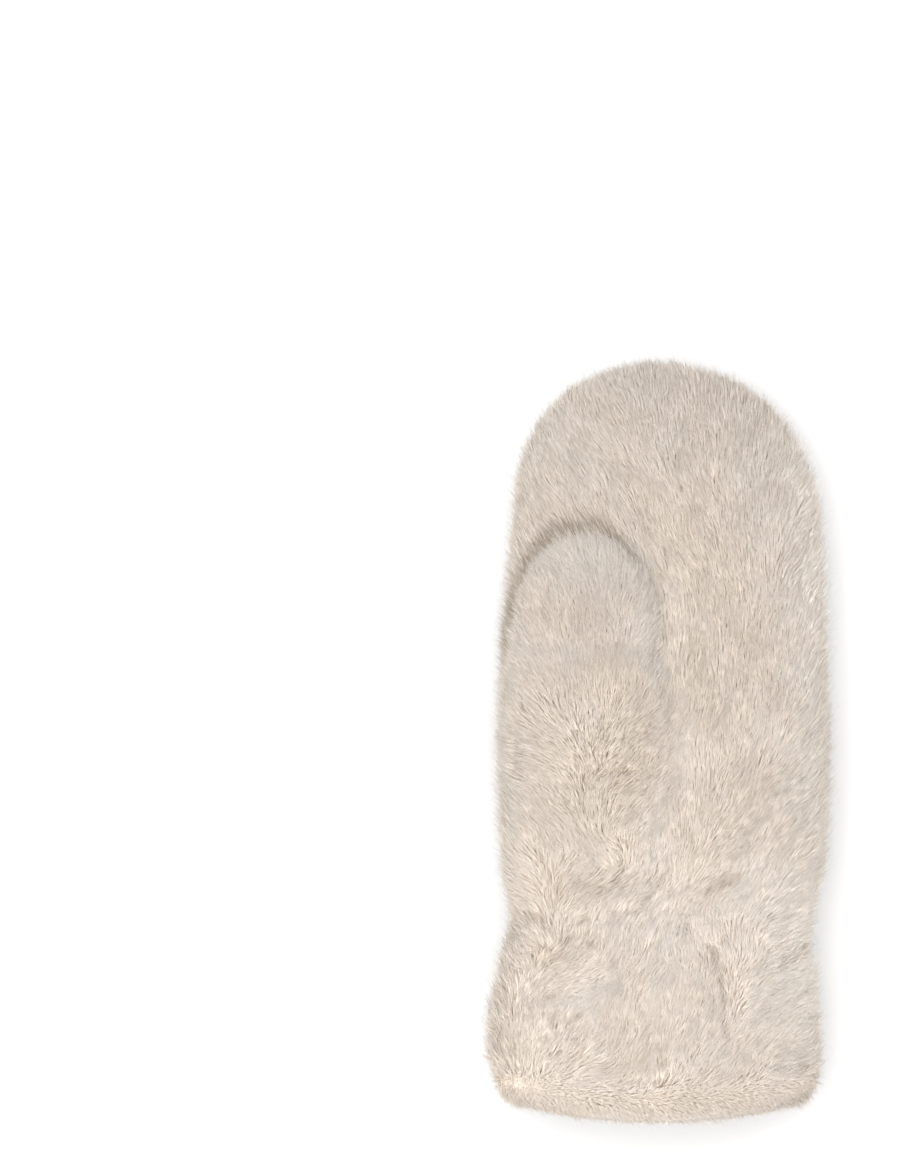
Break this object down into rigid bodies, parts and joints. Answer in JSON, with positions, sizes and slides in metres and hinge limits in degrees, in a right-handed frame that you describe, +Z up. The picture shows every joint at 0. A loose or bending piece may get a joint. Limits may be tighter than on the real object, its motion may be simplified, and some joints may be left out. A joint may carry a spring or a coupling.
{
  "type": "left-hand fur mitten",
  "caption": "Plump left-hand fur mitten lying palm up, with the thumb laid over the palm, a gathered wrist, a flared cuff and a rolled edge round its open mouth.",
  "frame": {"origin": "middle of the mitten's outline, on the surface that its back lies on", "axes": "+X towards the little-finger side, +Y from the cuff's mouth to the fingertips, +Z up, out of the palm"},
  "size_m": [0.133, 0.29, 0.0646],
  "materials": {
    "fur": "soft short pile, matt with a slight sheen along the hair",
    "hide": "matt suede"
  },
  "bodies": {
    "root": {"palm_panel": "fur", "back_panel": "fur", "thumb": "fur", "cuff": "fur", "cuff_hem": "fur"}
  },
  "joints": []
}
